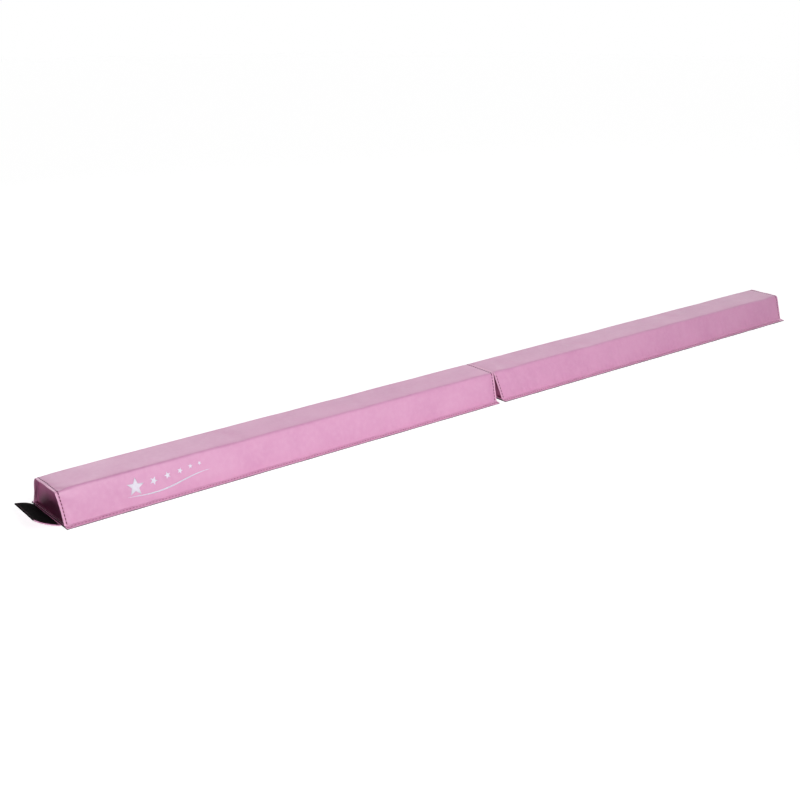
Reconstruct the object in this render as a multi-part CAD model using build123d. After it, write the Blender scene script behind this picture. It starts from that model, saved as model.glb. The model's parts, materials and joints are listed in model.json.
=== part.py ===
from build123d import *
import math
import os

# Folding floor balance beam: two foam-cored sections in sewn vinyl covers, hinged across the top.
# Millimetres. +X runs from the flap end to the plain end, +Y to the back, +Z up.
# The origin lies on the floor under the middle of the whole footprint, flap included.

# Beam
half_length = 1050.0  # one section, from the fold line to its outer end
beam_height = 63.5
top_width = 86.0  # across the top, before its long edges are rounded
foot_width = 132.0  # across the sloping sides where they meet the base flanges
base_width = 152.0  # across the base flanges
long_edge_radius = 7.0
gap_at_top = 0.3  # between the two sections, along the fold
gap_at_floor = 18.0  # the V gap under the fold

# Sheets and seams
cover_sheet = 0.8
base_sheet = 1.2
hinge_sheet = 0.8
play = 0.1  # between sheets that lie on each other
seam_allowance = 6.2  # turned-out rim round each end
thread_width = 0.8
thread_height = 0.4
groove_depth = 0.3  # the stitch rows draw the cover down this far
groove_width = 1.4
thread_play = 0.03  # above the floor of its groove
end_stitch_setback = 5.0  # stitch row, from the edge of the rim
base_stitch_inset = 5.0  # stitch row, from the edge of the base flange
foam_play = 0.3
foam_end_play = 4.0  # slack behind each end panel
foam_layers = ("lower", "middle", "upper")

# Connector flap, which stands up from the base seam at a low angle
flap_lift = 21.0  # degrees above the floor
flap_axis_setback = 0.8  # fold line of the flap, out from the near end
flap_axis_height = 2.5
flap_root = 0.4  # bare fold between the fold line and the sheets
flap_length = 52.0
flap_width = 110.0
flap_sheet = 1.0
hook_width = 104.0
hook_length = 48.0
hook_sheet = 1.4
flap_stitch_inset = 2.5

# Loop strip let into the far base, mate of another beam's flap
loop_length = 45.0
loop_width = 104.0
loop_sheet = 0.9
loop_stitch_inset = 2.5

# Places
flap_tilt = math.radians(flap_lift)
flap_thickness = flap_sheet + hook_sheet
flap_drop = flap_thickness * math.sin(flap_tilt)
flap_reach = flap_axis_setback + (flap_root + flap_length) * math.cos(flap_tilt) + flap_drop
fold_x = flap_reach / 2
near_end_x = fold_x - half_length
far_end_x = fold_x + half_length
flange_top = base_sheet + cover_sheet
cover_inset = cover_sheet + play
foam_inset = cover_sheet + foam_play
foam_floor = base_sheet + foam_play
foam_top = beam_height - foam_inset
side_top = beam_height - long_edge_radius  # where the sides' stitch rows end at the fold
beyond = 1.0  # how far cutting shapes run past what they cut
sides = {"near": -1, "far": 1}


def half_width(z, inset):
    """Half the width of the sloping section at height z, with its sides moved in by inset."""
    run = (foot_width - top_width) / 2
    rise = beam_height - base_sheet
    slant = math.hypot(run, rise) / rise
    return foot_width / 2 - run * (z - base_sheet) / rise - inset * slant


def section(inset, z_low, top_drop=0.0):
    """Cross-section with rounded long edges, drawn with Y across and Z up."""
    z_high = beam_height - inset - top_drop
    low = half_width(z_low, inset)
    high = half_width(z_high, inset)
    corners = [(-low, z_low), (low, z_low), (high, z_high), (-high, z_high)]
    outline = make_face(Polyline(*corners, close=True))
    top_corners = outline.vertices().group_by(Axis.Y)[-1]
    return fillet(top_corners, long_edge_radius - inset)


def band(y_low, y_high, z_low, z_high):
    """Upright rectangle of a cross-section."""
    middle = Pos((y_low + y_high) / 2, (z_low + z_high) / 2)
    return middle * Rectangle(y_high - y_low, z_high - z_low)


def end_line(side, end, setback):
    """Low and high points, as (X, Z), of a line that lies setback inside one end of a section."""
    points = []
    for z in (-beyond, beam_height + beyond):
        half_gap = (gap_at_floor + (gap_at_top - gap_at_floor) * z / beam_height) / 2
        reach = half_length - setback if end == "outer" else half_gap + setback
        points.append((fold_x + side * reach, z))
    return points


def run_between(sketch, line_a, line_b):
    """A cross-section run lengthwise between two end lines."""
    bar = extrude(Plane.YZ.offset(fold_x) * sketch, amount=half_length + beyond, both=True)
    outline = make_face(Polyline(*line_a, *reversed(line_b), close=True))
    slab = extrude(Plane.XZ * outline, amount=base_width, both=True)
    return bar & slab


def run_full(sketch, side, setback=0.0):
    """A cross-section run over a whole section, less a setback at each end."""
    return run_between(sketch, end_line(side, "outer", setback), end_line(side, "inner", setback))


def run_at_end(sketch, side, end, setback_a, setback_b):
    """A cross-section run between two setbacks from one end of a section."""
    return run_between(sketch, end_line(side, end, setback_a), end_line(side, end, setback_b))


def foam(side, layer):
    """One sheet of the laminated foam core."""
    sheet = (foam_top - foam_floor) / len(foam_layers)
    z_low = foam_floor + layer * sheet
    core = section(foam_inset, foam_floor)
    slice_band = band(-base_width, base_width, z_low, z_low + sheet)
    return run_full(core & slice_band, side, seam_allowance + foam_end_play)


def end_row(side, end, width, low, high, z_low=0.0, z_high=beam_height + beyond):
    """Band over front side, top and rear side near one end, from low to high above the cover."""
    row = section(-high, flange_top + play) - section(-low, flange_top + play - beyond)
    row &= band(-base_width, base_width, z_low, z_high)
    row_start = end_stitch_setback - width / 2
    return run_at_end(row, side, end, row_start, row_start + width)


def stitch_row(side, end, z_low=0.0, z_high=beam_height + beyond):
    """Thread that lies in the groove near one end."""
    low = thread_play - groove_depth
    return end_row(side, end, thread_width, low, low + thread_height, z_low, z_high)


def cover(side):
    """Vinyl sheet over front side, top and rear side, with a flange turned out along each foot."""
    sheet = section(0, base_sheet) - section(cover_sheet, base_sheet - beyond)
    flange_root = half_width(base_sheet, cover_sheet)
    rear_flange = band(flange_root, base_width / 2, base_sheet, flange_top)
    front_flange = band(-base_width / 2, -flange_root, base_sheet, flange_top)
    fold_row_top = beam_height + beyond if side == sides["near"] else side_top
    outer_groove = end_row(side, "outer", groove_width, -groove_depth, beyond)
    fold_groove = end_row(side, "inner", groove_width, -groove_depth, beyond, z_high=fold_row_top)
    return run_full(sheet + rear_flange + front_flange, side) - outer_groove - fold_groove


def loop_window(grow):
    """Outline of the loop strip in plan, grown on every edge."""
    centre_x = far_end_x - 2 * seam_allowance - loop_length / 2
    return Pos(centre_x, 0) * Rectangle(loop_length + 2 * grow, loop_width + 2 * grow)


def base_panel(side):
    """Non-slip base sheet out to the flange edges; the far one has a window for the loop strip."""
    panel = run_full(band(-base_width / 2, base_width / 2, 0, base_sheet), side)
    if side == sides["far"]:
        panel -= extrude(loop_window(play), amount=base_sheet)
    return panel


def end_panel(side, end):
    """End panel set back behind a rim, with a lip all round that lies against the other sheets."""
    top_drop = hinge_sheet + play if end == "inner" else 0.0
    floor = base_sheet + play
    outside = section(cover_inset, floor, top_drop)
    inside = section(cover_inset + cover_sheet, floor + cover_sheet, top_drop)
    tray = run_at_end(outside, side, end, 0, seam_allowance)
    return tray - run_at_end(inside, side, end, -beyond, seam_allowance - cover_sheet)


def end_base_stitches(side, end):
    """Stitch row through the lip at the foot of an end panel."""
    lip_top = base_sheet + play + cover_sheet
    reach = half_width(lip_top, cover_inset + cover_sheet) - seam_allowance
    row = band(-reach, reach, lip_top, lip_top + thread_height)
    middle = seam_allowance / 2
    return run_at_end(row, side, end, middle - thread_width / 2, middle + thread_width / 2)


def outer_end_thread(side):
    """Stitching of the outer end: over the cover, and along the foot of the panel."""
    return stitch_row(side, "outer") + end_base_stitches(side, "outer")


def inner_end_thread(side):
    """Stitching of the end at the fold: down both sides, and along the foot of the panel."""
    return stitch_row(side, "inner", z_high=side_top) + end_base_stitches(side, "inner")


def base_seam_thread(side):
    """Stitch rows along the front and rear base flanges."""
    row_y = base_width / 2 - base_stitch_inset
    half_row = thread_width / 2
    row_top = flange_top + thread_height
    rear = band(row_y - half_row, row_y + half_row, flange_top, row_top)
    front = band(-row_y - half_row, half_row - row_y, flange_top, row_top)
    return run_full(rear + front, side, thread_width)


def hinge_strip():
    """Fabric strip sewn under both top sheets across the fold."""
    length = 2 * (seam_allowance - play)
    width = top_width - 2 * long_edge_radius
    top = beam_height - cover_inset
    return Pos(fold_x, 0, top - hinge_sheet / 2) * Box(length, width, hinge_sheet)


def hinge_thread():
    """The stitch row that crosses the top beside the fold."""
    return stitch_row(sides["near"], "inner", z_low=side_top)


def loop_strip():
    """Loop strip, set into the base a little above the floor."""
    return Pos(0, 0, base_sheet - loop_sheet) * extrude(loop_window(0), amount=loop_sheet)


def loop_thread():
    """Stitch row round the loop strip, on its underside."""
    row = loop_window(-loop_stitch_inset) - loop_window(-loop_stitch_inset - thread_width)
    height = (base_sheet - loop_sheet) / 2
    return Pos(0, 0, base_sheet - loop_sheet - height) * extrude(row, amount=height)


def flap_layer(length, width, low, high):
    """Sheet of the flap between two heights above its underside, centred on the flap's width."""
    sheet = Pos(-flap_root - flap_length / 2, 0, (low + high) / 2 - flap_thickness)
    fold_line = Pos(near_end_x - flap_axis_setback, 0, flap_axis_height)
    return fold_line * Rot(0, flap_lift, 0) * sheet * Box(length, width, high - low)


def flap_backing():
    """The flap's own sheet, underneath."""
    return flap_layer(flap_length, flap_width, 0, flap_sheet)


def flap_hook_strip():
    """Hook-and-loop sheet on the upper side of the flap."""
    return flap_layer(hook_length, hook_width, flap_sheet, flap_thickness)


def flap_thread():
    """Stitch row round the hook strip, on its upper side."""
    length = hook_length - 2 * flap_stitch_inset
    width = hook_width - 2 * flap_stitch_inset
    top = flap_thickness + thread_height
    around = flap_layer(length, width, flap_thickness, top)
    inside = flap_layer(length - 2 * thread_width, width - 2 * thread_width, flap_sheet, top + beyond)
    return around - inside


def half_parts(name, side):
    """Every piece that both sections have, by node name."""
    parts = {
        f"{name}_cover": cover(side),
        f"{name}_base_panel": base_panel(side),
        f"{name}_base_seam_thread": base_seam_thread(side),
        f"{name}_outer_end_panel": end_panel(side, "outer"),
        f"{name}_outer_end_thread": outer_end_thread(side),
        f"{name}_inner_end_panel": end_panel(side, "inner"),
        f"{name}_inner_end_thread": inner_end_thread(side),
    }
    for layer, layer_name in enumerate(foam_layers):
        parts[f"{name}_foam_{layer_name}"] = foam(side, layer)
    return parts


nodes = {
    "hinge_strip": hinge_strip(),
    "hinge_thread": hinge_thread(),
    "far_loop_strip": loop_strip(),
    "far_loop_thread": loop_thread(),
    "flap_backing": flap_backing(),
    "flap_hook_strip": flap_hook_strip(),
    "flap_thread": flap_thread(),
}
for section_name, section_side in sides.items():
    nodes.update(half_parts(section_name, section_side))

os.makedirs("parts", exist_ok=True)
for node_name, shape in nodes.items():
    export_step(shape, f"parts/{node_name}.step")
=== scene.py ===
import json
import math

import bpy
import numpy as np
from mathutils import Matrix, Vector


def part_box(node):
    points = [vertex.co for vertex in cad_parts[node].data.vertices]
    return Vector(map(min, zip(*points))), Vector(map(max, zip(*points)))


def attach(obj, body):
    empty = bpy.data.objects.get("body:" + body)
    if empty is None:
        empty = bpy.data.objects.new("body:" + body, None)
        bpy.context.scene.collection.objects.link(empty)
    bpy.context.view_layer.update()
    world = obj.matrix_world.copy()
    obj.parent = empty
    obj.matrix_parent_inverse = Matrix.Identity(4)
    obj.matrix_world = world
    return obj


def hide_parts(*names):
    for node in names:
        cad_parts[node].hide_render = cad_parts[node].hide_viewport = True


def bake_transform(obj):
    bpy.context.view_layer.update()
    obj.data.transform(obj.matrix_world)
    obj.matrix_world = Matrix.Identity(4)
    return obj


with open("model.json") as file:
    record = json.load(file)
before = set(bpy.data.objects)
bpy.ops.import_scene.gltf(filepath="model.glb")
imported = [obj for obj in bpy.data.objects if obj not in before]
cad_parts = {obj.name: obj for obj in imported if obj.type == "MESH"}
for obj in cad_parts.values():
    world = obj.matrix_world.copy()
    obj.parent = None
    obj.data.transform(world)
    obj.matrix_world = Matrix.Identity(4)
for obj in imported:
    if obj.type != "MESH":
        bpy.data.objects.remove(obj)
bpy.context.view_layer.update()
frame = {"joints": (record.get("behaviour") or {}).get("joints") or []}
scene = bpy.context.scene

# Folding floor balance beam: sewn pink vinyl over foam, hinged across the top, with a hook-and-loop flap.
# Metres, in the frame of the CAD model. The cover of each section is one surface, described by two lengths:
# reach, from the fold towards the outer end, and girth, over the section from the middle of its top.

mm = 0.001

# Section
top_half = 43.0 * mm  # half the top, before its long edges are rounded
foot_half = 66.0 * mm
foot_height = 1.2 * mm  # where the slanting sides would meet the base sheet
long_edge_radius = 7.0 * mm
flange_root_height = 3.0 * mm
flange_root_radius = 3.5 * mm
flange_edge_height = 2.05 * mm
gap_at_top = 0.3 * mm
gap_at_floor = 18.0 * mm

# Sheets and seams
cover_sheet = 0.8 * mm
base_sheet = 1.2 * mm
lip_inset = 1.7 * mm  # visible face of an end panel's lip, in from the skin
hinge_drop = 0.9 * mm  # room for the hinge strip above the lips at the fold
rim = 6.2 * mm  # the end panels lie this far behind the ends
panel_hollow = 3.2 * mm  # and sag this much further in
seam = 5.0 * mm  # stitch rows, from the edges
foam_inset = 2.2 * mm
foam_end_gap = 14.0 * mm

# How the skin lies over its core
side_crown = 0.75 * mm
top_crown = 0.3 * mm
unevenness = 0.3 * mm
pucker_height = 0.6 * mm
pucker_reach = 17 * mm
seam_groove = 0.5 * mm
flange_groove = 0.35 * mm
flange_lift = 0.35 * mm
fold_dip = 0.6 * mm  # of the top towards the fold
dip_reach = 20 * mm
droop_reach = 16 * mm
flare_foot = 12 * mm  # the outer end leans out from this height up
flare_reach = 24 * mm

# Stitches
stitch_pitch = 6.8 * mm
stitch_length = 4.6 * mm
stitch_width = 1.8 * mm
stitch_height = 1.0 * mm
overcast_radius = 0.42 * mm

# Connector flap: each side edge as places out from the root and up
flap_backing = 1.0 * mm
hook_tape = 0.6 * mm
hook_pitch = 1.65 * mm
flap_half = 55.0 * mm
flap_drop = 2.35 * mm  # the underside at the root, below the hinge's axis
flap_front_edge = np.array([(0, 0), (12.6, 4.4), (25.5, 9.8), (38, 16.6), (49.8, 24.7)]) * mm
flap_back_edge = np.array([(0, 0), (12.2, 7.6), (22, 11.4), (31, 13.4), (38.5, 14.9)]) * mm

# Cloth simulation of a cover
trial_rows, trial_columns = 150, 49
trial_frames = 20
trial_cap = 0.45 * mm

# Light
world_strength = 1.6
floor_bounce = 0.2  # from below
end_bounce = 1.7  # from below, where the floor before the near end is lit
backdrop_direction = (0.61, 0.76, 0.23)

# Places taken from the frame
joints = {joint["name"]: joint for joint in frame["joints"]}
near_low, near_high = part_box("near_cover")
loop_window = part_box("far_loop_strip")
fold_x = joints["fold_hinge"]["pos_m"][0]
flap_axis = np.array(joints["flap_hinge"]["pos_m"])
beam_height = near_high.z
base_half = near_high.y
half_length = fold_x - near_low.x


# ---- Meshes ----


def points_of(x, y, z):
    """Points from coordinates, which are spread to one shape."""
    return np.stack(np.broadcast_arrays(x, y, z), axis=-1)


def quads_of(index, flip=False):
    """Quads between neighbouring rows and columns of an index grid."""
    corners = index[:-1, :-1], index[1:, :-1], index[1:, 1:], index[:-1, 1:]
    return np.stack(corners[::-1] if flip else corners, axis=-1).reshape(-1, 4)


def closed(index):
    """An index grid whose last column meets its first."""
    return np.concatenate([index, index[:, :1]], axis=1)


def linked(name, data):
    """A mesh, lamp or camera, put into the scene."""
    item = bpy.data.objects.new(name, data)
    scene.collection.objects.link(item)
    return item


def new_piece(name, points, groups, material, thickness=0.0, sharp_angle=50.0):
    """A mesh object of groups of faces, with a sheet thickness behind them where one is given."""
    mesh = bpy.data.meshes.new(name)
    faces = [face for group in groups for face in group.tolist()]
    mesh.from_pydata(np.asarray(points, float).reshape(-1, 3), [], faces)
    piece = linked(name, mesh)
    mesh.materials.append(material)
    if thickness:
        give_thickness(piece, thickness)
    piece.data.polygons.foreach_set("use_smooth", np.ones(len(piece.data.polygons), bool))
    piece.data.set_sharp_from_angle(angle=math.radians(sharp_angle))
    return piece


def give_thickness(piece, thickness):
    """Turns a single-sided sheet into a closed one, with its visible face unmoved."""
    solid = piece.modifiers.new("sheet", "SOLIDIFY")
    solid.thickness = thickness
    solid.offset = -1.0
    graph = bpy.context.evaluated_depsgraph_get()
    piece.data = bpy.data.meshes.new_from_object(piece.evaluated_get(graph))
    piece.modifiers.clear()


def grid_piece(name, points, material, flip=False, **options):
    """A sheet made of a grid of points."""
    index = np.arange(points.shape[0] * points.shape[1]).reshape(points.shape[:2])
    return new_piece(name, points, [quads_of(index, flip)], material, **options)


def coordinates(mesh):
    places = np.empty(len(mesh.vertices) * 3)
    mesh.vertices.foreach_get("co", places)
    return places.reshape(-1, 3)


def store(piece, name, values):
    attribute = piece.data.attributes.new(name, "FLOAT", "POINT")
    attribute.data.foreach_set("value", np.asarray(values, np.float32))


def copies_of(template, groups, centres, along, across, up):
    """Many copies of one small closed shape, each in its own frame: their points and groups of faces."""
    points = centres[:, None]
    for lengths, axis in zip(template.T, (along, across, up)):
        points = points + lengths[:, None] * axis[:, None]
    shifts = np.arange(len(centres))[:, None, None] * len(template)
    return points.reshape(-1, 3), [(group[None] + shifts).reshape(-1, group.shape[1]) for group in groups]


def tube_faces(rings, around):
    """Sides and two end caps of a tube whose points are rings of the same number of points."""
    index = np.arange(rings * around).reshape(rings, around)
    return [quads_of(closed(index), flip=True), np.stack([index[0], index[-1][::-1]])]


def unit(vectors):
    return vectors / np.linalg.norm(vectors, axis=-1, keepdims=True)


def ease(x, low, high):
    t = np.clip((x - low) / (high - low), 0, 1)
    return t * t * (3 - 2 * t)


def bell(x, width):
    return np.exp(-((x / width) ** 2))


# ---- The cover's surface ----


def rounded_path(corners, radii, step=0.25 * mm):
    """Closely spaced points along straight lines whose inner corners are rounded."""
    corners = [np.array(corner, float) for corner in corners]
    points = [corners[0]]
    for before, corner, after, radius in zip(corners, corners[1:], corners[2:], radii):
        into, out = unit(before - corner), unit(after - corner)
        half_angle = math.acos(np.clip(into @ out, -1, 1)) / 2
        setback = radius / math.tan(half_angle)
        centre = corner + unit(into + out) * radius / math.sin(half_angle)
        start, end = corner + into * setback - centre, corner + out * setback - centre
        turn = math.pi - 2 * half_angle
        for share in np.linspace(0, 1, 24):
            weight_a, weight_b = math.sin((1 - share) * turn), math.sin(share * turn)
            points.append(centre + (start * weight_a + end * weight_b) / math.sin(turn))
    points.append(corners[-1])
    points = np.array(points)
    lengths = np.concatenate([[0], np.cumsum(np.linalg.norm(np.diff(points, axis=0), axis=1))])
    spaced = np.linspace(0, lengths[-1], int(lengths[-1] / step))
    return spaced, np.stack([np.interp(spaced, lengths, points[:, k]) for k in range(2)], axis=1)


flange_root = (foot_half - 0.6 * mm, flange_root_height)
half_girths, half_section = rounded_path(
    [(0, beam_height), (top_half, beam_height), flange_root, (base_half, flange_edge_height)],
    [long_edge_radius, flange_root_radius],
)
girth_end = half_girths[-1]
slant = math.atan2(foot_half - top_half, beam_height - foot_height)
flat_half = top_half - long_edge_radius * math.tan((math.pi / 2 - slant) / 2)
side_start = flat_half + long_edge_radius * (math.pi / 2 - slant)
side_end = half_girths[np.argmin(np.abs(half_section[:, 1] - flange_root_height - 2 * mm))]
side_row_top = half_girths[np.argmin(np.abs(half_section[:, 1] - (beam_height - long_edge_radius)))]
half_slopes = np.gradient(half_section, half_girths, axis=0)


def section_at(girth):
    """Y and Z of the plain section, and the Y and Z of its outward normal."""
    columns = (*half_section.T, *half_slopes.T)
    y, z, run, rise = (np.interp(np.abs(girth), half_girths, column) for column in columns)
    sign = np.where(girth < 0, -1.0, 1.0)
    return y * sign, z, -rise * sign, run


def half_gap(z):
    """Half the width of the V gap at the fold."""
    return (gap_at_floor + (gap_at_top - gap_at_floor) * z / beam_height) / 2


class Waves:
    """Seeded smooth unevenness over two lengths, mostly between -1 and 1."""

    def __init__(self, rng, count, shortest, longest, stretch=1.0):
        numbers = 2 * math.pi / rng.uniform(shortest, longest, count)
        headings = rng.uniform(0, 2 * math.pi, count)
        self.first = numbers * np.cos(headings) / stretch
        self.second = numbers * np.sin(headings)
        self.phases = rng.uniform(0, 2 * math.pi, count)
        self.spread = math.sqrt(count * 1.4)

    def __call__(self, first, second=0.0):
        first = np.asarray(first, float)[..., None]
        second = np.asarray(second, float)[..., None]
        return np.cos(first * self.first + second * self.second + self.phases).sum(-1) / self.spread


def sampled(grid, first, second):
    """Bilinear values of a grid at shares of its rows and columns."""
    first = np.clip(first, 0, 1) * (grid.shape[0] - 1)
    second = np.clip(second, 0, 1) * (grid.shape[1] - 1)
    row = np.minimum(first.astype(int), grid.shape[0] - 2)
    column = np.minimum(second.astype(int), grid.shape[1] - 2)
    down, right = first - row, second - column
    before = grid[row, column] * (1 - right) + grid[row, column + 1] * right
    after = grid[row + 1, column] * (1 - right) + grid[row + 1, column + 1] * right
    return before * (1 - down) + after * down


class Skin:
    """The outside of one section's cover, on the side -1 or 1 of the fold."""

    def __init__(self, side, seed):
        rng = np.random.default_rng(seed)
        self.side = side
        self.droop = 2.2 * mm if side < 0 else 0.5 * mm
        self.flare = 2.6 * mm if side < 0 else 4.5 * mm
        self.broad = Waves(rng, 16, 50 * mm, 160 * mm, stretch=2.6)
        self.pull = Waves(rng, 12, 16 * mm, 44 * mm)
        self.gather = Waves(rng, 14, 9 * mm, 30 * mm)
        self.ripple = Waves(rng, 14, 12 * mm, 60 * mm)
        self.edge = Waves(rng, 8, 22 * mm, 90 * mm)
        self.settled = np.zeros((trial_rows, trial_columns))
        self.let_go()

    def let_go(self):
        """Cloth simulation of the cover: a little full, pressed out by its core and held at its seams."""
        reaches = np.linspace(0, half_length, trial_rows)
        girths = np.linspace(-girth_end, girth_end, trial_columns)
        reaches, girths = np.meshgrid(reaches, girths, indexing="ij")
        start, _, _, normal = self.frame(reaches, girths)
        trial = grid_piece("cover_trial", start, vinyl, self.side < 0)
        held = (np.minimum(reaches, half_length - reaches) < seam + 1 * mm) | (np.abs(girths) > side_end)
        trial.vertex_groups.new(name="held").add(np.flatnonzero(held.ravel()).tolist(), 1.0, "REPLACE")
        modifier = trial.modifiers.new("cloth", "CLOTH")
        cloth = modifier.settings
        cloth.quality = 6
        cloth.mass = 0.05
        cloth.tension_stiffness = cloth.compression_stiffness = 30.0
        cloth.shear_stiffness = 12.0
        cloth.bending_stiffness = 1.5
        cloth.vertex_group_mass = "held"
        cloth.use_pressure = True
        cloth.uniform_pressure_force = 0.15
        cloth.shrink_min = cloth.shrink_max = -0.0015
        cloth.effector_weights.gravity = 0.0
        modifier.point_cache.frame_end = trial_frames
        for number in range(1, trial_frames + 1):
            scene.frame_set(number)
        graph = bpy.context.evaluated_depsgraph_get()
        settled = coordinates(trial.evaluated_get(graph).data).reshape(start.shape)
        moved = ((settled - start) * normal).sum(-1)
        self.settled = trial_cap * np.tanh(moved / trial_cap)
        bpy.data.meshes.remove(trial.data)
        scene.frame_set(1)

    def stand_off(self, reach, girth):
        """How far the skin stands off the plain section."""
        size = np.abs(girth)
        outer = half_length - reach
        height = sampled(self.settled, reach / half_length, girth / girth_end / 2 + 0.5)
        on_side = ease(size, side_start - 2 * mm, side_start + 6 * mm)
        on_flange = ease(size, side_end - 1 * mm, side_end + 5 * mm)
        on_top = 1 - ease(size, flat_half, side_start + 8 * mm)
        # The core's crown, which fades towards the seams
        across_side = np.clip((size - side_start) / (side_end - side_start), 0, 1)
        crown = side_crown * np.sin(math.pi * across_side)
        crown += top_crown * np.cos(math.pi / 2 * np.clip(size / flat_half, 0, 1))
        inside = ease(np.minimum(outer, reach), seam, seam + 22 * mm)
        uneven = unevenness * self.broad(reach, girth) * (1 - on_flange)
        height += (crown + uneven) * (0.25 + 0.75 * inside) * (1 - on_flange)
        # Puckers behind the end rows, a groove along them, and the loose allowance beyond
        for distance, firmness in ((outer, 1.0), (reach, 0.35 + 0.65 * on_side)):
            past = np.clip(distance - seam, 0, None)
            puckers = self.pull(girth + 0.25 * past, 0.35 * past)
            fading = np.exp(-past / pucker_reach) * (1 - np.exp(-past / (3 * mm)))
            height += pucker_height * firmness * puckers * fading
            height -= seam_groove * firmness * bell(distance - seam, 0.9 * mm)
            beyond = np.clip(1 - distance / seam, 0, 1)
            height += (0.3 + 0.3 * self.edge(girth)) * mm * beyond * firmness
        # Gathers above the foot, and the flange with its own groove
        from_foot = np.clip(side_end - size, 0, None)
        gathered = self.gather(reach, np.sign(girth) * 40 * mm) * np.exp(-from_foot / (8 * mm))
        height += (0.4 + 0.7 * np.exp(-outer / (70 * mm))) * mm * gathered * on_side * (1 - on_flange)
        lift = flange_lift * (1 + self.ripple(reach, np.sign(girth) * 50 * mm)) * on_flange
        height += lift * ease(girth_end - size, 0, 3 * mm) + 0.15 * mm * on_flange
        height -= flange_groove * bell(girth_end - size - seam, 0.8 * mm)
        # The top sinks towards both ends
        height -= fold_dip * np.exp(-reach / dip_reach) * on_top
        height -= self.droop * np.exp(-outer / droop_reach) * on_top
        most = (0.5 + 3.0 * on_side) * mm
        return np.where(height > 0, most * np.tanh(height / most), height)

    def leaning(self, z, outer):
        """How far the skin leans out at its outer end."""
        return self.flare * ease(z, flare_foot, beam_height) * np.exp(-outer / flare_reach)

    def point(self, reach, girth, depth=0.0):
        """A point on the skin, or that far beneath it."""
        reach, girth = np.broadcast_arrays(np.asarray(reach, float), np.asarray(girth, float))
        y, z, normal_y, normal_z = section_at(girth)
        end_shift = 0.5 * mm * (self.edge(girth, 30 * mm) - 1) * reach / half_length
        along = half_gap(z) + reach * (half_length + end_shift - half_gap(z)) / half_length
        along += self.leaning(z, half_length - reach)
        out = self.stand_off(reach, girth) - depth
        return points_of(fold_x + self.side * along, y + normal_y * out, z + normal_z * out)

    def frame(self, reach, girth):
        """Point, unit vectors along reach and girth, and outward normal."""
        step = 0.2 * mm
        middle = self.point(reach, girth)
        along = unit(self.point(reach + step, girth) - self.point(reach - step, girth))
        around = unit(self.point(reach, girth + step) - self.point(reach, girth - step))
        return middle, along, around, unit(np.cross(along, around)) * self.side


def spaced_with(fine, length, step):
    """Places along a length, close together near both ends and step apart between."""
    fine = np.array(fine) * mm
    count = max(2, round((length - 2 * fine[-1]) / step))
    middle = np.linspace(fine[-1], length - fine[-1], count + 1)
    return np.concatenate([fine[:-1], middle, length - fine[:-1][::-1]])


end_steps = (0, 0.7, 1.5, 2.5, 3.4, 4.1, 4.6, 5, 5.4, 5.9, 6.6, 7.6, 9, 10.8, 13, 15.5)
flange_steps = (0, 0.8, 1.8, 3, 4, 4.6, 5, 5.4, 6, 7, 8, 9, 10, 11, 12, 13.2, 14.6, 16.2, 18)


def girth_places():
    """Places over the section, from the front flange's edge to the rear one's."""
    top = np.linspace(0, flat_half, 13)
    corner = np.linspace(flat_half, side_start, 10)[1:]
    foot = girth_end - np.array(flange_steps)[::-1] * mm
    side = np.linspace(side_start, foot[0], 17)[1:-1]
    half = np.concatenate([top, corner, side, foot])
    return np.concatenate([-half[:0:-1], half])


def make_cover(name, skin):
    reaches = spaced_with(end_steps, half_length, 3.1 * mm)
    points = skin.point(reaches[:, None], girth_places())
    piece = grid_piece(f"{name}_cover_skin", points, vinyl, skin.side < 0, thickness=cover_sheet)
    mark_seams(piece, skin)
    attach(piece, f"{name}_half")
    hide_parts(f"{name}_cover")


def mark_seams(piece, skin, rows=True):
    """Stores how near each point is to a seam, a stitch row and a long edge, for its colour: a darker tint
    near the ends and the foot, painted light on the rims and the flange, painted shade along the long top
    edges and the stitch rows.
    """
    x, y, z = coordinates(piece.data).T
    from_fold = np.abs(x - fold_x)
    outer = half_length - from_fold
    outer += skin.leaning(z, outer)
    inner = from_fold - half_gap(z)
    end = np.minimum(outer, inner)
    above_flange = ease(z, 2.4 * mm, 5 * mm)
    # Darker towards the ends and towards the foot, less so on the flange
    end_and_foot_darkening = np.exp(-np.clip(np.minimum(end, z * 0.8), 0, None) / (7 * mm))
    store(piece, "seam", end_and_foot_darkening * (0.1 + 0.9 * above_flange))
    # Painted light: lighter rims beyond the end rows and a lighter flange
    at_end = (1 - ease(end, 2.5 * mm, seam)) * ease(z, 4 * mm, 9 * mm)
    store(piece, "allowance", np.maximum(at_end, 0.9 * (1 - above_flange)))
    edge_inset = 2.0 * mm  # the middle of the painted shade, in from the section's corner
    from_edge = np.hypot(np.abs(y) - (top_half - edge_inset), z - beam_height + edge_inset)
    # Painted shade: a slightly darker line along the rounded long edges of the top
    store(piece, "worn", bell(from_edge, 3.5 * mm))
    from_row = np.abs(end - seam)
    plain_top = (x > fold_x) & (inner < outer) & (z > beam_height - long_edge_radius)
    from_row[plain_top] = half_length
    on_flange = z < flange_root_height + 1.5 * mm
    from_row[on_flange] = np.abs(base_half - np.abs(y[on_flange]) - seam)
    strength = np.where(on_flange, 0.25, 1.0) * rows
    # Painted shade: a darker line along each stitch row, for the shadow in its groove
    store(piece, "row", bell(from_row, 1.1 * mm) * strength)


# ---- Seams ----


def stitch_shape():
    """One stitch: a short thread, fat in the middle, whose ends dive into the sheet."""
    around = np.linspace(0, 2 * math.pi, 8, endpoint=False)
    share = np.linspace(-1, 1, 9)[:, None]
    fullness = (1 - np.abs(share) ** 3.2) ** 0.5 * 0.82 + 0.18
    width = np.cos(around) * fullness * stitch_width / 2
    height = np.sin(around) * fullness * stitch_height / 2
    height += (0.16 - 0.55 * share**4) * stitch_height
    return points_of(share * stitch_length / 2, width, height).reshape(-1, 3), tube_faces(9, 8)


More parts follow.
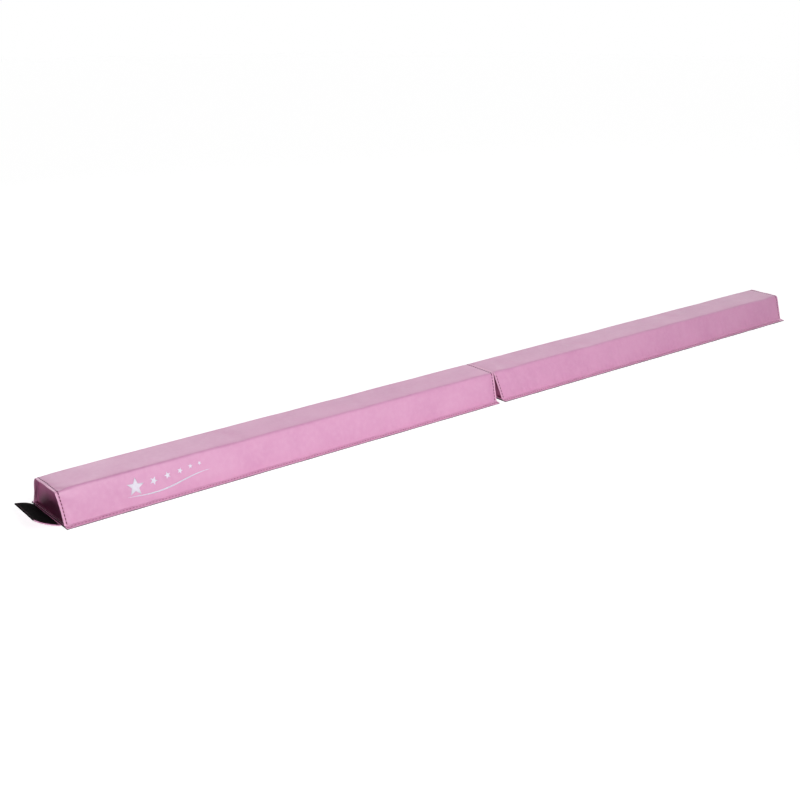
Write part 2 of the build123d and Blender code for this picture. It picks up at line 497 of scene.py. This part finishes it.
def stitch_rows(name, rows, material):
    """One piece holding several rows of stitches. A row is (centres, along, up)."""
    template, faces = stitch_shape()
    centres, along, up = (np.concatenate(parts) for parts in zip(*rows))
    along, up = unit(along), unit(up)
    points, quads = copies_of(template, faces, centres, along, unit(np.cross(up, along)), up)
    return new_piece(name, points, quads, material, sharp_angle=180.0)


def stitches_between(low, high):
    """Places of the stitches along a row."""
    count = round((high - low) / stitch_pitch)
    return low + (np.arange(count) + 0.5) * (high - low) / count


def row_over(skin, reach, girth_from, girth_to):
    """A row across the section."""
    middle, _, around, normal = skin.frame(reach, stitches_between(girth_from, girth_to))
    return middle, around, normal


def row_along(skin, girth):
    """A row the length of a section."""
    middle, along, _, normal = skin.frame(stitches_between(1 * mm, half_length - 1 * mm), girth)
    return middle, along, normal


def straight_row(centres, along, up):
    """A row whose stitches all lie the same way."""
    flat = np.zeros(centres.shape)
    return centres, flat + along, flat + up


def row_on_lip(skin, end):
    """The row through the lip at the foot of an end panel."""
    reach = half_length - 3.7 * mm if end == "outer" else 3.7 * mm
    half_row = foot_half - 9 * mm
    y = stitches_between(-half_row, half_row)
    x = skin.point(reach, side_end)[0]
    return straight_row(points_of(x, y, base_sheet + cover_sheet + 0.3 * mm), (0, 1, 0), (0, 0, 1))


def make_seams(name, skin):
    body = f"{name}_half"
    seam_girth = girth_end - seam
    rows = {
        "base_seam": [row_along(skin, -seam_girth), row_along(skin, seam_girth)],
        "outer_end": [row_over(skin, half_length - seam, -side_end, side_end), row_on_lip(skin, "outer")],
        "inner_end": [
            row_over(skin, seam, -side_end, -side_row_top),
            row_over(skin, seam, side_row_top, side_end),
            row_on_lip(skin, "inner"),
        ],
    }
    for place, place_rows in rows.items():
        material = rose_thread if place == "base_seam" else thread
        piece = stitch_rows(f"{name}_{place}_stitches", place_rows, material)
        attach(piece, body)
        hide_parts(f"{name}_{place}_thread")


def make_hinge_seam(skin):
    row = row_over(skin, seam, -side_row_top, side_row_top)
    piece = stitch_rows("hinge_stitches", [row], thread)
    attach(piece, "near_half")
    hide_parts("hinge_thread")


# ---- End panels ----


def make_end_panel(name, skin, end, seed):
    """A slack sheet set back behind its rim, with a lip all round that lies against the cover."""
    creases = Waves(np.random.default_rng(seed), 12, 14 * mm, 40 * mm)
    at_fold = end == "inner"
    up_side = np.linspace(side_end + 1 * mm, flat_half, 34)
    over_top = np.linspace(-flat_half, flat_half, 41)
    girths = np.concatenate([-up_side, over_top[1:-1], up_side[::-1]])
    on_top = 1 - ease(np.abs(girths), flat_half - 4 * mm, flat_half + 2 * mm)
    drop = (hinge_drop if at_fold else 0.0) * on_top
    floor = base_sheet + cover_sheet + 0.15 * mm

    def lip(depth, inset, raised=0.0):
        """Loop of points on the lip: up the front, over the top, down the rear, back along the base."""
        arch = skin.point(depth if at_fold else half_length - depth, girths, inset + drop)
        arch[:, 2] = np.maximum(arch[:, 2], floor)
        foot = np.linspace(arch[-1, :2], arch[0, :2], len(over_top))[1:-1]
        into_corner = np.minimum(arch[-1, 1] - foot[:, 1], foot[:, 1] - arch[0, 1])
        foot_z = floor + inset - lip_inset + raised * ease(into_corner, 0, 4 * mm)
        return np.concatenate([arch, points_of(*foot.T, foot_z)])

    # The welt along the foot: how far behind the end, and how high
    ridge = ((0.2, 1.3), (0.5, 2.2), (1.1, 2.5), (1.8, 2.0), (2.4, 0.9), (3.2, 0.2), (4.8, 0.0))
    loops = [lip(depth * mm, lip_inset, raised * mm) for depth, raised in ridge]
    loops.append(lip(5.6 * mm, lip_inset + 0.15 * mm))
    rows, columns = len(up_side), len(over_top)
    share = np.linspace(-1, 1, columns)
    front = lip(rim, lip_inset + 0.8 * mm)[:rows]
    face = points_of(front[:, :1], share * np.abs(front[:, 1:2]), front[:, 2:])
    height = np.clip((face[..., 2] - floor) / (beam_height - floor), 0, 1)
    hollow = (1 - np.abs(share) ** 2.4) * np.clip(np.sin(math.pi * height), 0, 1) ** 0.7
    wrinkle = creases(face[..., 1], face[..., 2]) * hollow
    into = skin.side if at_fold else -skin.side
    face[..., 0] += into * (panel_hollow * hollow + 0.5 * mm * wrinkle)

    face_size = rows * columns
    index = np.arange(face_size).reshape(rows, columns)
    rim_index = np.concatenate([index[:, 0], index[-1, 1:-1], index[::-1, -1], index[0, -2:0:-1]])
    rings = face_size + np.arange(len(loops) * len(rim_index)).reshape(len(loops), -1)
    rings = closed(np.concatenate([rings, rim_index[None]]))
    faces = [quads_of(index), quads_of(rings, flip=True)]
    if into < 0:
        faces = [group[:, ::-1] for group in faces]
    points = np.concatenate([face.reshape(-1, 3), *loops])
    piece = new_piece(f"{name}_{end}_end_sheet", points, faces, vinyl, thickness=cover_sheet)
    mark_seams(piece, skin, rows=False)
    # Painted shade: the panel faces are marked for a deeper rose tint in the vinyl's colour, for the shade
    # of their recess
    # The sheet's second layer repeats the points of its first
    store(piece, "recess", np.arange(len(piece.data.vertices)) % len(points) < face_size)
    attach(piece, f"{name}_half")
    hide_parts(f"{name}_{end}_end_panel")


# ---- Base, foam, hinge ----


def snapped(places, targets):
    """The same places, with the nearest one moved onto each target."""
    places = np.array(places, float)
    for target in targets:
        places[np.argmin(np.abs(places - target))] = target
    return places


def make_base(name, skin, seed):
    """Black non-slip sheet under a section, with a window for the loop strip in the far one."""
    edge = Waves(np.random.default_rng(seed), 10, 15 * mm, 80 * mm)
    reaches = spaced_with((0, 1, 3, 6, 10), half_length, 6 * mm)
    widths = spaced_with((0, 0.8, 2, 4), 2 * base_half, 8 * mm) - base_half
    low, high = loop_window
    window = [low.x - fold_x, high.x - fold_x] if name == "far" else []
    widths = snapped(widths, [low.y, high.y] if name == "far" else [])
    gap = gap_at_floor / 2
    along = gap + snapped(reaches, window) * (half_length - 0.3 * mm - gap) / half_length
    along = snapped(along, window)
    trim = 0.5 * mm if name == "near" else 0.1 * mm
    sign = np.sign(widths)
    near_edge = ease(np.abs(widths), base_half - 4 * mm, base_half)
    wave = edge(along[:, None], sign * 70 * mm)
    plan_y = widths - sign * near_edge * (trim + 0.35 * mm * wave)
    points = points_of(fold_x + skin.side * along[:, None], plan_y, 0.0)
    quads = quads_of(np.arange(plan_y.size).reshape(plan_y.shape), flip=skin.side > 0)
    x, y, _ = points.reshape(-1, 3)[quads].mean(axis=1).T
    quads = quads[~((x > low.x) & (x < high.x) & (y > low.y) & (y < high.y))]
    piece = new_piece(f"{name}_base_sheet", points, [quads], base_vinyl, thickness=base_sheet)
    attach(piece, f"{name}_half")
    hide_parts(f"{name}_base_panel")


def make_foam(name, skin, layer):
    """One sheet of the laminated core, with softened edges."""
    node = f"{name}_foam_{layer}"
    low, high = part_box(node)
    soft = 2.0 * mm
    reaches = spaced_with((0, 1, 2.5, 5), half_length - 2 * foam_end_gap, 12 * mm) + foam_end_gap
    z = np.concatenate([[low.z], np.linspace(low.z + soft, high.z - soft, 6), [high.z]])
    girths = np.interp(-z, -half_section[:, 1], half_girths)
    y = np.interp(girths, half_girths, half_section[:, 0]) - foam_inset * 1.06
    y[[0, -1]] -= soft / 2
    z = np.minimum(z, beam_height - foam_inset)
    y, z = np.concatenate([y, -y[::-1]]), np.concatenate([z, z[::-1]])
    along = half_gap(z) + reaches[:, None] * (half_length - half_gap(z)) / half_length
    points = points_of(fold_x + skin.side * along, y, z)
    index = np.arange(len(reaches) * len(z)).reshape(-1, len(z))
    first, last = (np.stack([row, row[::-1]], axis=1)[: len(z) // 2] for row in index[[0, -1]])
    flip = skin.side > 0
    faces = [quads_of(closed(index), flip), quads_of(first, not flip), quads_of(last, flip)]
    piece = new_piece(node + "_sheet", points, faces, foam, sharp_angle=60.0)
    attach(piece, f"{name}_half")
    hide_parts(node)


def make_hinge_strip():
    """Fabric sewn under both top sheets, across the fold, with its rows closer together where it crosses the
    fold.
    """
    low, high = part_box("hinge_strip")
    bend = 1.2 * mm
    start, end = fold_x - bend, fold_x + bend
    through = np.linspace(start, end, 15)[1:-1]
    along = np.concatenate([np.linspace(low.x, start, 6), through, np.linspace(end, high.x, 6)])
    x, y = np.meshgrid(along, np.linspace(low.y, high.y, 37), indexing="ij")
    points = points_of(x, y, high.z - 0.55 * mm)  # under the crowned covers
    piece = grid_piece("hinge_fabric", points, webbing, thickness=0.7 * mm, flip=True)
    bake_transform(piece)
    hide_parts("hinge_strip")


# ---- Connector flap ----


def edge_point(edge, share):
    """Point, out and up, at a share of the way along one side edge of the flap."""
    places = np.linspace(0, 1, len(edge))
    fits = [np.polyfit(places, edge[:, k], 3) for k in range(2)]
    return np.stack([np.polyval(fit, share) - fit[-1] * (1 - share) for fit in fits], axis=-1)


def flap_point(share, across, height=0.0):
    """A point over the flap's underside: share from root to tip, across from -1 at the front to 1."""
    share, across = np.broadcast_arrays(np.asarray(share, float), np.asarray(across, float))

    def middle(share, across):
        weight = ((across + 1) / 2)[..., None]
        front, back = edge_point(flap_front_edge, share), edge_point(flap_back_edge, share)
        flat = front * (1 - weight) + back * weight
        z = flap_axis[2] - flap_drop + flat[..., 1]
        return points_of(flap_axis[0] - flat[..., 0], across * flap_half, z)

    step = 0.01
    along = middle(share + step, across) - middle(share - step, across)
    over = middle(share, across + step) - middle(share, across - step)
    normal = unit(np.cross(over, along))
    normal *= np.sign(normal[..., 2:3])
    return middle(share, across) + normal * np.asarray(height)[..., None], unit(along), unit(over), normal


def make_flap():
    root = near_low.x - 0.05 * mm
    shares = np.concatenate([[0.0, 0.012, 0.03, 0.05], np.linspace(0.08, 1, 30)])
    points = flap_point(shares[:, None], np.linspace(-1, 1, 61), flap_backing)[0]
    tongue = points_of(root, points[0, :, 1], base_sheet + flap_backing)
    points = np.concatenate([tongue[None], points])
    backing = grid_piece("flap_backing_sheet", points, vinyl, thickness=flap_backing)
    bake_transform(backing)
    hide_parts("flap_backing")

    shares = np.concatenate([np.linspace(0.075, 0.985, 30), [1.0, 1.012, 1.016, 1.012]])
    across = np.linspace(-0.975, 0.99, 59)
    drops = np.concatenate([np.zeros(30), [0.05, 0.3, 0.9, 1.7]]) * mm
    points = flap_point(shares[:, None], across, (flap_backing + hook_tape - drops)[:, None])[0]
    tape = grid_piece("flap_hook_tape", points, hook, thickness=hook_tape)
    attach(tape, "connector_flap")
    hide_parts("flap_hook_strip")

    hooks = make_hooks()
    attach(hooks, "connector_flap")

    stitches = make_flap_stitches()
    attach(stitches, "connector_flap")
    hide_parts("flap_thread")


def make_hooks():
    """Rows of small nylon hooks."""
    rng = np.random.default_rng(77)
    # One hook is a three-sided thread along a path, out and up
    path = np.array([(0, 0), (0.05, 0.45), (0.28, 0.8), (0.62, 0.85), (0.85, 0.6)]) * mm
    section = np.array([(-1, -0.6), (1, -0.6), (0, 1)]) * 0.128 * mm
    out = unit(np.gradient(path, axis=0))
    sideways = np.stack([-out[:, 1], out[:, 0]], axis=-1)
    rings = path[:, None] + sideways[:, None] * section[:, 1:]
    template = points_of(rings[..., 0], section[:, 0], rings[..., 1]).reshape(-1, 3)
    shares = np.arange(0.1, 0.955, hook_pitch / (50 * mm))
    across = np.arange(-0.94, 0.941, hook_pitch / flap_half)
    share_grid, across_grid = np.meshgrid(shares, across, indexing="ij")
    across_grid = across_grid + (np.arange(len(shares)) % 2)[:, None] * hook_pitch / flap_half / 2
    count = share_grid.size
    share_all = share_grid.ravel() + rng.normal(0, 0.002, count)
    across_all = across_grid.ravel() + rng.normal(0, 0.001, count)
    centres, along, over, normal = flap_point(share_all, across_all, flap_backing + hook_tape)
    turn = rng.normal(0, 0.25, count)[:, None] + math.pi * (np.arange(count) % 2)[:, None]
    heading = np.cos(turn) * along + np.sin(turn) * over
    sideways = unit(np.cross(normal, heading))
    points, quads = copies_of(template, tube_faces(len(path), 3), centres, heading, sideways, normal)
    return new_piece("flap_hooks", points, quads, hook, sharp_angle=180.0)


def make_flap_stitches():
    """The row round the hook tape."""
    top = flap_backing + hook_tape + 0.15 * mm
    lengthwise, crosswise = np.linspace(0.13, 0.92, 10), np.linspace(-0.9, 0.9, 22)
    rows = []
    for shares, across, direction in (
        (lengthwise, -0.93, 1), (lengthwise, 0.93, 1), (0.105, crosswise, 2), (0.945, crosswise, 2),
    ):
        parts = flap_point(shares, across, top)
        rows.append((parts[0], parts[direction], parts[3]))
    return stitch_rows("flap_stitches", rows, thread)


def make_overcast():
    """Pink overcast stitches round the flap's front edge."""
    around = np.linspace(0, 2 * math.pi, 7, endpoint=False)[:, None]
    turns = np.linspace(-0.15, 1.15, 12)
    points, faces = [], []
    for share in np.linspace(0.07, 0.985, 18):
        low = flap_point(share, -0.955, -0.25 * mm)[0]
        high = flap_point(share + 0.018, -0.955, flap_backing + 0.4 * mm)[0]
        out = flap_point(share + 0.009, -1.0, flap_backing / 2)[0] + np.array([0, -0.75 * mm, 0])
        out = 2 * out - (low + high) / 2
        path = np.array([(1 - t) ** 2 * low + 2 * t * (1 - t) * out + t**2 * high for t in turns])
        tangents = unit(np.gradient(path, axis=0))
        side = unit(np.cross(tangents, [1.0, 0.2, 0.3]))
        other = np.cross(tangents, side)
        ring = np.cos(around) * side[:, None, :] + np.sin(around) * other[:, None, :]
        faces += [group + sum(map(len, points)) for group in tube_faces(len(turns), len(around))]
        points.append((path[:, None, :] + overcast_radius * ring).reshape(-1, 3))
    piece = new_piece("flap_edge_stitches", np.concatenate(points), faces, pale_thread, sharp_angle=180.0)
    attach(piece, "connector_flap")


# ---- Loop strip under the far end ----


def make_loop_strip():
    low, high = loop_window
    nap = Waves(np.random.default_rng(5), 30, 1.6 * mm, 5 * mm)
    x, y = np.meshgrid(np.linspace(low.x, high.x, 46), np.linspace(low.y, high.y, 105), indexing="ij")
    points = points_of(x, y, low.z + 0.06 * mm * (1 + nap(x, y)))
    piece = grid_piece("far_loop_tape", points, loops_material, thickness=0.7 * mm, flip=True)
    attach(piece, "far_half")
    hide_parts("far_loop_strip")
    inset = 2.9 * mm
    row_z = low.z - 0.02 * mm
    down = (0, 0, -1)
    x = np.arange(low.x + inset + 2 * mm, high.x - inset, stitch_pitch)
    rows = [straight_row(points_of(x, y, row_z), (1, 0, 0), down) for y in (low.y + inset, high.y - inset)]
    y = np.arange(low.y + inset + 2 * mm, high.y - inset, stitch_pitch)
    rows += [straight_row(points_of(x, y, row_z), (0, 1, 0), down) for x in (low.x + inset, high.x - inset)]
    stitches = stitch_rows("far_loop_stitches", rows, thread)
    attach(stitches, "far_half")
    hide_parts("far_loop_thread")


# ---- Printed ornament ----


def make_ornament(skin):
    """A generic print on the front side: stars along a thin ribbon."""
    start = half_length - 128 * mm
    middle = -(side_start + side_end) / 2
    points, faces = [], []

    def add(plan, *groups):
        """Plan points are along the beam to the right, and up the side."""
        film, _, _, normal = skin.frame(start - plan[:, 0], middle + plan[:, 1])
        faces.extend(group + sum(map(len, points)) for group in groups)
        points.append(film + normal * 0.12 * mm)

    def star(right, up, radius, tilt):
        corners = 10
        angles = np.linspace(0, 2 * math.pi, corners, endpoint=False) + tilt
        tips = np.stack([np.sin(angles), np.cos(angles)], axis=-1)
        tips *= np.where(np.arange(corners) % 2, 0.43, 1.0)[:, None] * radius
        steps = np.arange(4)[:, None] / 4
        outline = (tips[:, None] + (np.roll(tips, -1, axis=0) - tips)[:, None] * steps).reshape(-1, 2)
        rings = np.array([0.12, 0.35, 0.68, 1.0])[:, None, None] * outline
        index = np.arange(4 * len(outline)).reshape(4, -1)
        add(rings.reshape(-1, 2) + [right, up], quads_of(closed(index)), index[:1])

    def ribbon(from_right, to_right, rise, width):
        share = np.linspace(0, 1, 90)
        right = from_right + (to_right - from_right) * share
        up = -15 * mm + rise * share + 4.5 * mm * np.sin(share * 2 * math.pi * 0.9 + 2.6)
        breadth = width * np.sin(math.pi * np.clip(share, 0.01, 0.99)) ** 0.6
        plan = np.concatenate([np.stack([right, up + breadth * k], axis=-1) for k in (-0.5, 0, 0.5)])
        add(plan, quads_of(np.arange(len(plan)).reshape(3, -1), flip=True))

    for right, up, radius, tilt in (
        (20, 3, 18, 0.12), (58, 5, 8.5, 0.5), (88, 8, 7.0, -0.2),
        (115, 10, 6.0, 0.4), (138, 13, 5.0, 0.1), (158, 14, 4.2, 0.7),
    ):
        star(right * mm, up * mm, radius * mm, tilt)
    ribbon(2 * mm, 178 * mm, 9 * mm, 2.8 * mm)
    piece = new_piece("side_print", np.concatenate(points), faces, ink)
    for polygon in piece.data.polygons:
        if polygon.normal.y > 0:  # it looks at the beam's inside
            polygon.flip()
    piece.data.update()
    give_thickness(piece, 0.1 * mm)
    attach(piece, "near_half")


# ---- Materials ----

white = (1, 1, 1, 1)
grain_size = 1.15 * mm


class Nodes:
    """A node tree being built."""

    def __init__(self, tree):
        self.tree = tree

    def add(self, kind, settings=(), **inputs):
        node = self.tree.nodes.new("ShaderNode" + kind)
        for key, value in dict(settings).items():
            setattr(node, key, value)
        return self.fill(node, inputs)

    def fill(self, node, inputs):
        for key, value in inputs.items():
            self.feed(node.inputs[key.replace("_", " ")], value)
        return node

    def feed(self, socket, value):
        if isinstance(value, bpy.types.NodeSocket):
            self.tree.links.new(value, socket)
        else:
            socket.default_value = value

    def remap(self, value, from_low, from_high, to_low, to_high, kind="LINEAR"):
        node = self.add("MapRange", {"interpolation_type": kind})
        for socket, given in zip(node.inputs, (value, from_low, from_high, to_low, to_high)):
            self.feed(socket, given)
        return node.outputs[0]

    def math(self, operation, first, second):
        node = self.add("Math", {"operation": operation})
        self.feed(node.inputs[0], first)
        self.feed(node.inputs[1], second)
        return node.outputs[0]


def linear(shade):
    """Display values from 0 to 255 as a linear colour."""
    values = [value / 255 for value in shade]
    return (*[v / 12.92 if v <= 0.04045 else ((v + 0.055) / 1.055) ** 2.4 for v in values], 1.0)


class Graph(Nodes):
    """A node material being built. Coordinates are the row frame at rest."""

    def __init__(self, name):
        self.material = bpy.data.materials.new(name)
        self.material.use_nodes = True
        super().__init__(self.material.node_tree)
        self.shader = self.tree.nodes["Principled BSDF"]
        self.place = self.add("TexCoord").outputs["Object"]

    def texture(self, kind, size, settings=(), **inputs):
        return self.add(kind, settings, Vector=self.place, Scale=1 / size, **inputs)

    def noise(self, size, detail=2.0, roughness=0.5):
        return self.texture("TexNoise", size, Detail=detail, Roughness=roughness).outputs[0]

    def cells(self, size, feature="F1", randomness=1.0):
        node = self.texture("TexVoronoi", size, {"feature": feature}, Randomness=randomness)
        return node.outputs["Distance"]

    def bands(self, size, direction, distortion):
        settings = {"wave_type": "BANDS", "bands_direction": direction}
        return self.texture("TexWave", size, settings, Distortion=distortion).outputs["Fac"]

    def grain(self):
        """Leather grain: flat cells with valleys between them."""
        return self.remap(self.cells(grain_size, "DISTANCE_TO_EDGE"), 0.0, 0.22, 0, 1)

    def attribute(self, name):
        return self.add("Attribute", {"attribute_name": name}).outputs["Fac"]

    def mix(self, share, first, second):
        """Mixes two colours, each a socket or display values from 0 to 255."""
        node = self.add("Mix", {"data_type": "RGBA"})
        for number, value in ((0, share), (6, first), (7, second)):
            self.feed(node.inputs[number], linear(value) if isinstance(value, tuple) else value)
        return node.outputs[2]

    def bump(self, height, depth, strength=1.0, under=None):
        node = self.add("Bump", Height=height, Distance=depth, Strength=strength)
        if under is not None:
            self.feed(node.inputs["Normal"], under)
        return node.outputs["Normal"]

    def finish(self, **inputs):
        self.fill(self.shader, inputs)
        return self.material


def make_vinyl():
    """PVC-coated fabric: leather grain, a soft sheen, a darker tint near the ends and the foot, and painted
    light and shade: lighter rims and flange, a darker line along the long top edges and the stitch rows, and
    a deeper rose in the end panels' recesses.
    """
    g = Graph("pink_vinyl")
    clouds = g.remap(g.noise(90 * mm, 3), 0.35, 0.65, 0, 1)
    base = g.mix(clouds, (227, 160, 200), (221, 152, 194))
    base = g.mix(g.remap(g.noise(9 * mm, 3), 0.4, 0.75, 0, 0.35), base, (232, 174, 208))
    for mark, share, shade in (
        # darker near the ends and towards the foot
        ("seam", 0.4, (206, 130, 174)),
        # painted shade: a darker line along the long top edges
        ("worn", 0.12, (212, 160, 194)),
        # painted light: lighter rims at the ends and a lighter flange
        ("allowance", 0.6, (242, 182, 214)),
        # painted shade along the stitch rows, for the shadow in their grooves
        ("row", 0.35, (150, 66, 112)),
        # painted shade: deeper rose on the recessed end panel faces
        ("recess", 0.75, (196, 92, 148)),
    ):
        base = g.mix(g.math("MULTIPLY", g.attribute(mark), share), base, shade)
    recess = g.attribute("recess")
    normal = g.bump(g.noise(34 * mm, 2, 0.4), 0.5 * mm, 0.25)
    normal = g.bump(g.grain(), 0.05 * mm, 0.35, normal)
    normal = g.bump(g.noise(0.45 * mm, 2), 0.02 * mm, 0.3, normal)
    rough = g.remap(g.noise(26 * mm, 4, 0.6), 0.3, 0.7, 0.34, 0.46)
    return g.finish(
        Base_Color=base, Roughness=rough, Normal=normal, IOR=1.5, Coat_Roughness=0.3,
        Specular_IOR_Level=g.remap(recess, 0, 1, 0.5, 0.12), Coat_Weight=g.remap(recess, 0, 1, 0.12, 0.0),
    )


def make_base_vinyl():
    """Black non-slip sheet: close rows of small raised dots over a fabric texture."""
    g = Graph("black_non_slip")
    base = g.mix(g.remap(g.noise(60 * mm, 4), 0.35, 0.7, 0, 1), (20, 18, 21), (34, 31, 34))
    dots = g.remap(g.cells(2.6 * mm, "F1", 0.0), 0.16, 0.34, 1, 0)
    normal = g.bump(dots, 0.35 * mm, 0.8)
    normal = g.bump(g.noise(0.5 * mm, 2), 0.06 * mm, 0.5, normal)
    return g.finish(Base_Color=base, Roughness=g.remap(dots, 0, 1, 0.75, 0.55), Normal=normal)


def make_pile(name, shade, size):
    """Matt black nylon pile."""
    g = Graph(name)
    base = g.mix(g.noise(size, 3), shade, tuple(value + 6 for value in shade))
    normal = g.bump(g.noise(size * 0.6, 3, 0.6), 0.15 * mm, 0.7)
    return g.finish(Base_Color=base, Roughness=0.9, Normal=normal, Specular_IOR_Level=0.12)


def make_thread(name, dark, light):
    """Twisted sewing thread."""
    g = Graph(name)
    twist = g.bands(2.2 * mm, "DIAGONAL", 1.5)
    base = g.mix(g.remap(twist, 0, 1, 0, 0.8), dark, light)
    normal = g.bump(twist, 0.08 * mm, 0.6)
    return g.finish(Base_Color=base, Roughness=0.7, Normal=normal, Specular_IOR_Level=0.15)


def make_webbing():
    """Woven hinge fabric, dyed to match."""
    g = Graph("hinge_webbing")
    weave = g.bands(3.5 * mm, "Y", 0.4)
    base = g.mix(weave, (196, 120, 165), (214, 146, 186))
    return g.finish(Base_Color=base, Roughness=0.7, Normal=g.bump(weave, 0.15 * mm, 0.7))


def make_foam_material():
    """Closed-cell foam."""
    g = Graph("closed_cell_foam")
    base = g.mix(g.noise(18 * mm, 3), (236, 236, 232), (246, 246, 243))
    cells = g.cells(1.4 * mm, "SMOOTH_F1")
    return g.finish(Base_Color=base, Roughness=0.85, Normal=g.bump(cells, 0.25 * mm, 0.5))


def make_ink():
    """Screen-printed ink, thin enough to show the grain under it."""
    g = Graph("white_print")
    wear = g.remap(g.noise(4 * mm, 4), 0.45, 0.8, 0, 0.6)
    base = g.mix(wear, (236, 230, 244), (224, 206, 230))
    return g.finish(Base_Color=base, Roughness=0.42, Normal=g.bump(g.grain(), 0.04 * mm, 0.3))


vinyl = make_vinyl()
base_vinyl = make_base_vinyl()
hook = make_pile("hook_pile_nylon", (2, 2, 2), 1.5 * mm)
loops_material = make_pile("loop_pile_nylon", (16, 16, 17), 0.8 * mm)
thread = make_thread("maroon_thread", (46, 6, 24), (112, 30, 68))
rose_thread = make_thread("rose_thread", (168, 86, 130), (206, 126, 168))
pale_thread = make_thread("pale_thread", (230, 160, 198), (250, 220, 236))
webbing = make_webbing()
foam = make_foam_material()
ink = make_ink()


# ---- Studio ----


def make_floor():
    g = Graph("pale_floor")
    base = g.remap(g.noise(0.8, 2), 0, 1, 0.29, 0.30)
    pale = g.finish(
        Base_Color=base, Roughness=0.8, Specular_IOR_Level=0.1, Emission_Color=white, Emission_Strength=0.88,
    )
    half_size, drop = 9.0, 0.05 * mm
    corners = np.array([(-1, -1, 0), (1, -1, 0), (1, 1, 0), (-1, 1, 0)]) * half_size - [0, 0, drop]
    floor = new_piece("floor", corners, [np.arange(4)[None]], pale)
    floor.visible_diffuse = floor.visible_glossy = False


def make_backdrop():
    """A pale paper sweep all round, seen by the camera alone, so that it neither lights nor shades."""
    around = np.linspace(0, 2 * math.pi, 97)
    profile = np.array([(8.0, -0.01), (9.4, 0.0), (10.4, 0.35), (11.1, 1.05), (11.4, 2.0), (11.5, 9.0)])
    radius, height = profile[:, :1], profile[:, 1:]
    g = Graph("pale_paper")
    paper = g.finish(
        Base_Color=(0, 0, 0, 1), Specular_IOR_Level=0.0, Emission_Color=white, Emission_Strength=1.0,
    )
    points = points_of(radius * np.cos(around), radius * np.sin(around), height)
    sweep = grid_piece("backdrop", points, paper)
    sweep.visible_diffuse = sweep.visible_glossy = sweep.visible_shadow = False


def make_world():
    """A white backdrop behind and to the right, dimmer overhead, in front and towards the near end."""
    world = bpy.data.worlds.new("studio")
    scene.world = world
    world.use_nodes = True
    g = Nodes(world.node_tree)
    direction = g.add("TexCoord").outputs["Generated"]
    parts = g.add("SeparateXYZ", Vector=direction).outputs
    facing = g.add("VectorMath", {"operation": "DOT_PRODUCT"})
    g.feed(facing.inputs[0], direction)
    g.feed(facing.inputs[1], backdrop_direction)

    def ramp(source, *limits):
        return g.remap(source, *limits, kind="SMOOTHSTEP")

    light = ramp(facing.outputs["Value"], 0.0, 0.8, 0.22, 1.0)
    for axis, *limits in (
        ("X", -0.55, 0.1, 0.02, 1.0),
        ("Z", 0.42, 0.78, 1.0, 0.1),
        ("Z", 0.14, 0.4, 0.72, 1.0),
        ("Z", -0.1, 0.02, 0.0, world_strength),
    ):
        light = g.math("MULTIPLY", light, ramp(parts[axis], *limits))
    below = ramp(parts["Z"], -0.1, 0.02, 1.0, 0.0)
    lit_floor = ramp(parts["X"], -0.8, -0.2, end_bounce, floor_bounce)
    light = g.math("ADD", light, g.math("MULTIPLY", below, lit_floor))
    background = g.tree.nodes["Background"]
    g.feed(background.inputs["Color"], white)
    g.feed(background.inputs["Strength"], light)


def add_area(name, place, target, size, power):
    """A large soft elliptical lamp that looks at its target."""
    lamp = bpy.data.lights.new(name, "AREA")
    lamp.shape = "ELLIPSE"
    lamp.size, lamp.size_y = size
    lamp.energy = power
    holder = linked(name, lamp)
    holder.location = place
    holder.rotation_euler = (Vector(target) - Vector(place)).to_track_quat("-Z", "Y").to_euler()
    return holder


def make_camera():
    """Seen from beside the near end, a little below a standing person's eye."""
    camera = bpy.data.cameras.new("camera")
    camera.sensor_width = 36.0
    camera.lens = 57.625
    camera.clip_end = 200.0
    holder = linked("camera", camera)
    holder.location = (fold_x - 1.8769, -2.0394, 0.9813)
    pitch, heading = math.radians(19.799), math.radians(38.836)
    holder.rotation_euler = (math.pi / 2 - pitch, 0, -heading)
    scene.camera = holder


# ---- Assembly ----

skins = {"near": Skin(-1, 11), "far": Skin(1, 23)}
for number, (name, skin) in enumerate(skins.items()):
    make_cover(name, skin)
    make_seams(name, skin)
    make_base(name, skin, 40 + number)
    make_end_panel(name, skin, "outer", 50 + number)
    make_end_panel(name, skin, "inner", 60 + number)
    for layer in ("lower", "middle", "upper"):
        make_foam(name, skin, layer)
make_hinge_strip()
make_hinge_seam(skins["near"])
make_flap()
make_overcast()
make_loop_strip()
make_ornament(skins["near"])

make_floor()
make_backdrop()
make_world()
add_area("key", (-0.5, -2.3, 1.7), (0.0, 0.0, 0.03), (1.8, 1.8), 62)
sheen_card = add_area("sheen_card", (0.8, -2.5, 0.6), (-0.3, 0.0, 0.05), (2.6, 1.0), 13)
sheen_card.visible_diffuse = False
add_area("rear", (0.1, 2.8, 1.25), (-0.4, 0.0, 0.05), (1.6, 0.9), 4)
rear_fill = add_area("rear_fill", (0.2, 2.8, 0.5), (0.0, 0.0, 0.03), (2.4, 0.7), 16)
rear_fill.visible_glossy = False
fill = add_area("fill", (-1.9, -2.3, 0.3), (-1.0, 0.0, 0.03), (0.8, 0.4), 2.0)
fill.visible_glossy = False
make_camera()
scene.view_settings.view_transform = "Standard"
